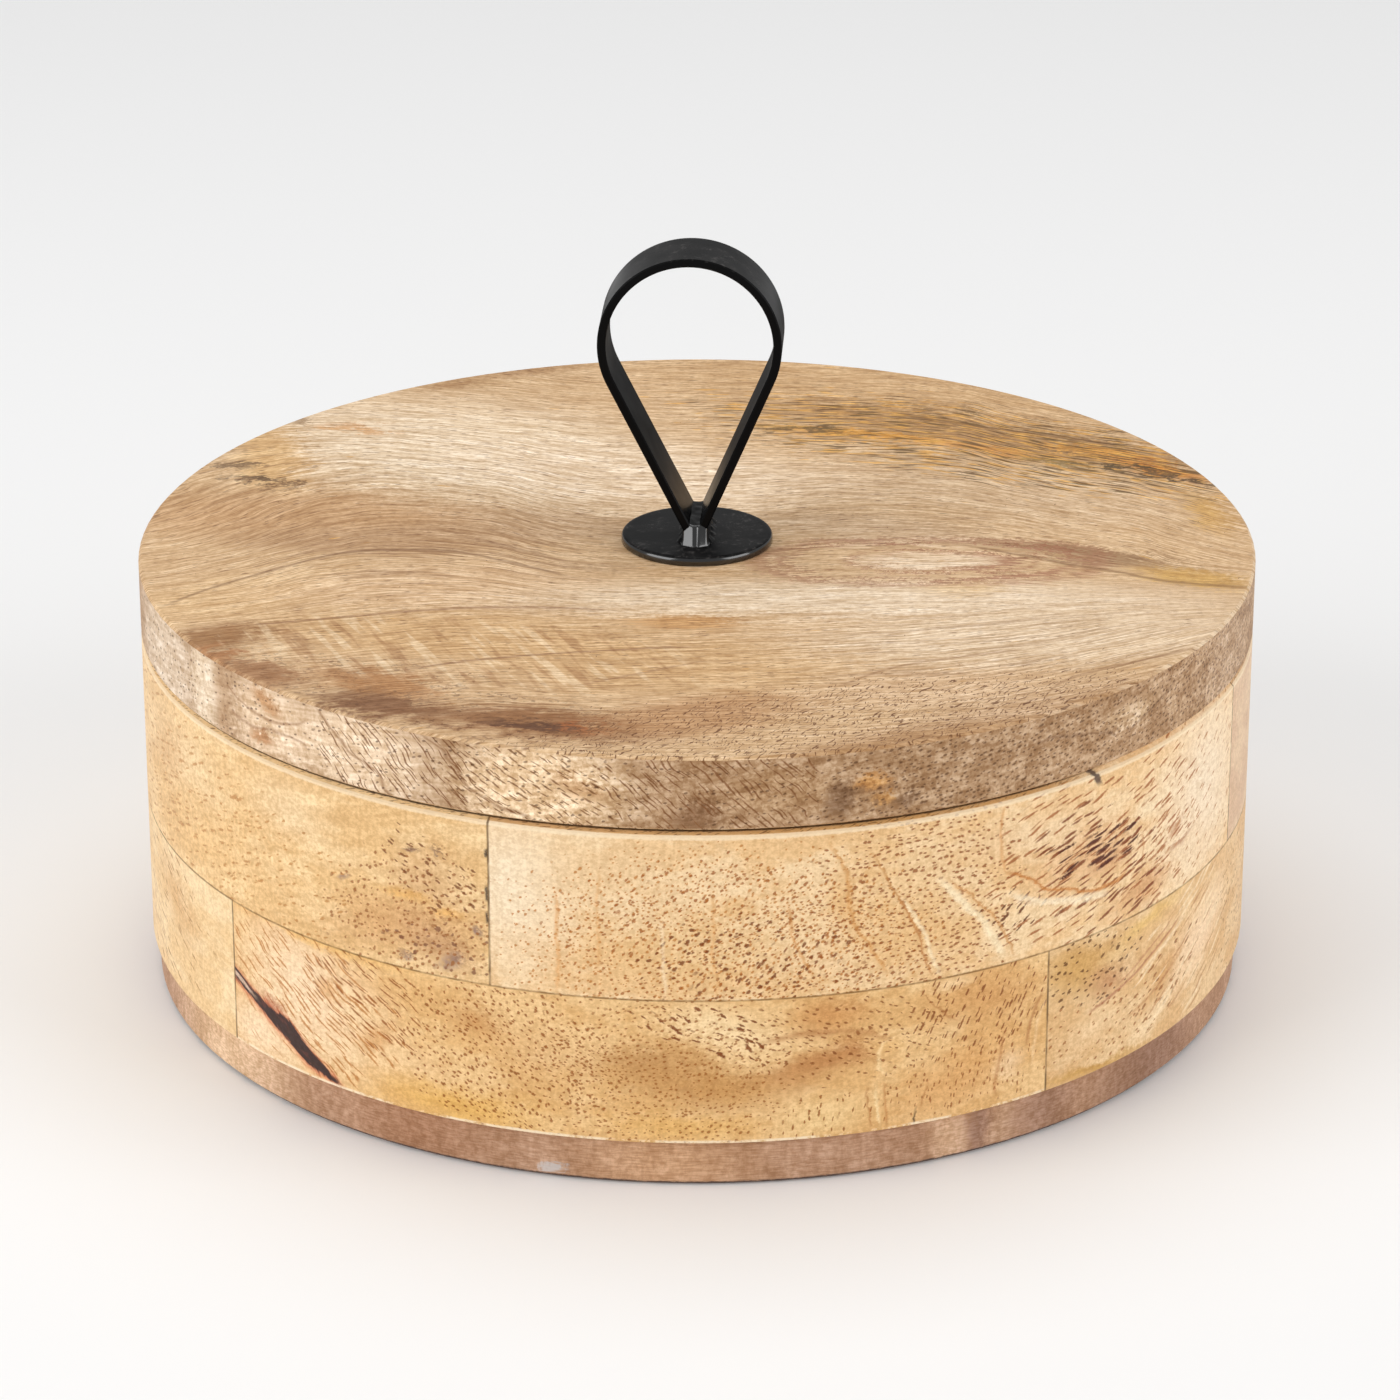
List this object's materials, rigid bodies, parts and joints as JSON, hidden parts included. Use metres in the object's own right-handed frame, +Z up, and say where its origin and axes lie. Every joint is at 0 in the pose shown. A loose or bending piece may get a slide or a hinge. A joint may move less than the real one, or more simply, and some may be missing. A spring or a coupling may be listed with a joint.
{
  "type": "wooden storage box",
  "caption": "Round wooden storage box with a segmented wall, a lift-off lid with a locating rebate, and a black bent-strip loop handle.",
  "frame": {"origin": "centre of the base board's underside, on the surface that the box stands on", "axes": "+Z up along the box's axis, front towards -Y, +X to the right seen from the front"},
  "size_m": [0.3, 0.3, 0.2004],
  "materials": {
    "base_board": "matt brown board, sanded edge",
    "wall_wood": "satin clear lacquer over sanded mango wood",
    "lid_wood": "satin clear lacquer over sanded mango wood",
    "black_steel": "satin black powder coat",
    "plated_steel": "zinc plated"
  },
  "bodies": {
    "box": {"base_board": "base_board", "lower_segment_1": "wall_wood", "lower_segment_2": "wall_wood", "lower_segment_3": "wall_wood", "lower_segment_4": "wall_wood", "upper_segment_1": "wall_wood", "upper_segment_2": "wall_wood", "upper_segment_3": "wall_wood", "upper_segment_4": "wall_wood"},
    "lid": {"lid_board": "lid_wood", "handle_plate": "black_steel", "handle_loop": "black_steel", "right_weld": "black_steel", "left_weld": "black_steel", "middle_weld": "black_steel", "handle_stud": "plated_steel", "handle_washer": "plated_steel", "handle_nut": "plated_steel"}
  },
  "joints": [
    {"name": "lid_lift", "type": "slide", "parent": "box", "child": "lid", "axis": [0, 0, 1], "range_m": [0, 0.15]}
  ]
}
